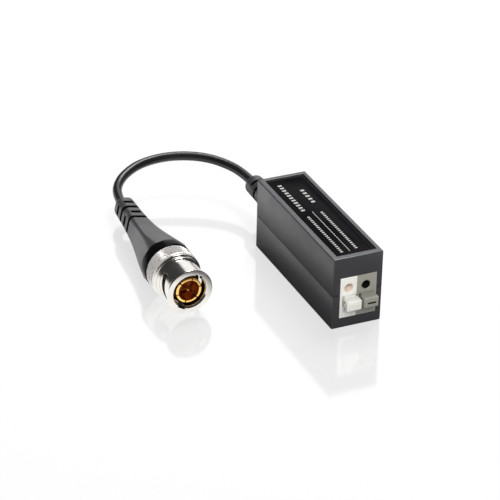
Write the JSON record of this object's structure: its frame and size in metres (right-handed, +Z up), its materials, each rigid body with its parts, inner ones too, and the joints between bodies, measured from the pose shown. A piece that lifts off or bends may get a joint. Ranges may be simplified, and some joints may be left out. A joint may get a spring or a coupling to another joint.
{
  "type": "cctv video balun",
  "caption": "Slim moulded case with a push-button wire terminal in its front and a short coaxial lead out of its back that ends in a bayonet plug.",
  "frame": {"origin": "centre of the case's bottom face, which rests on the surface", "axes": "-Y out of the wire terminal's face, +Y towards the lead, +Z up, +X to the right seen from the terminal"},
  "size_m": [0.0588, 0.1038, 0.0232],
  "materials": {
    "case_plastic": "satin moulded charcoal",
    "label_film": "gloss black",
    "white_plastic": "warm white",
    "grey_plastic": "warm grey",
    "spring_steel": "plain",
    "tinned_metal": "bright tin",
    "board_laminate": "green laminate",
    "ferrite": "sintered dark grey",
    "copper_wire": "enamelled copper",
    "capacitor_coat": "dipped orange",
    "resistor_coat": "lacquered tan",
    "cable_jacket": "smooth black",
    "boot_rubber": "satin dark grey",
    "collar_plastic": "gloss black",
    "plated_metal": "bright nickel",
    "gold_plate": "gold plate",
    "brown_insulator": "brown",
    "gasket_rubber": "plain"
  },
  "bodies": {
    "balun": {"upper_housing": "case_plastic", "lower_housing": "case_plastic", "label_panel": "label_film", "terminal_white": "white_plastic", "terminal_grey": "grey_plastic", "terminal_end_plate": "grey_plastic", "white_clamp_spring": "spring_steel", "grey_clamp_spring": "spring_steel", "white_contact_bar": "tinned_metal", "grey_contact_bar": "tinned_metal", "circuit_board": "board_laminate", "balun_core": "ferrite", "balun_primary_winding": "copper_wire", "balun_secondary_winding": "copper_wire", "surge_arrester": "tinned_metal", "coupling_capacitor": "capacitor_coat", "resistor_pair": "resistor_coat", "signal_lead": "white_plastic", "shield_lead": "tinned_metal", "cable_gland": "boot_rubber", "coax_cable": "cable_jacket", "cable_boot": "boot_rubber", "collar_ring": "collar_plastic", "crimp_ferrule": "plated_metal", "connector_body": "plated_metal", "outer_contact": "gold_plate", "insulator": "brown_insulator", "centre_pin": "gold_plate", "sealing_gasket": "gasket_rubber", "spring_washer": "spring_steel"},
    "white_button": {"white_button": "white_plastic"},
    "grey_button": {"grey_button": "grey_plastic"},
    "nut_slider": {"thrust_washer": "spring_steel"},
    "coupling_nut": {"coupling_nut": "plated_metal", "retaining_ring": "spring_steel"}
  },
  "joints": [
    {"name": "white_button_press", "type": "slide", "parent": "balun", "child": "white_button", "axis": [0, 1, 0], "range_m": [0, 0.0011], "stiffness_N_per_m": 3000},
    {"name": "grey_button_press", "type": "slide", "parent": "balun", "child": "grey_button", "axis": [0, 1, 0], "range_m": [0, 0.0011], "stiffness_N_per_m": 3000},
    {"name": "nut_slide", "type": "slide", "parent": "balun", "child": "nut_slider", "axis": [0.007, -1, 0], "range_m": [0, 0.001], "stiffness_N_per_m": 5000},
    {"name": "nut_spin", "type": "hinge", "parent": "nut_slider", "child": "coupling_nut", "pos_m": [-0.04286, -0.00469, 0.0078], "axis": [-0.007, 1, 0], "continuous": true}
  ]
}
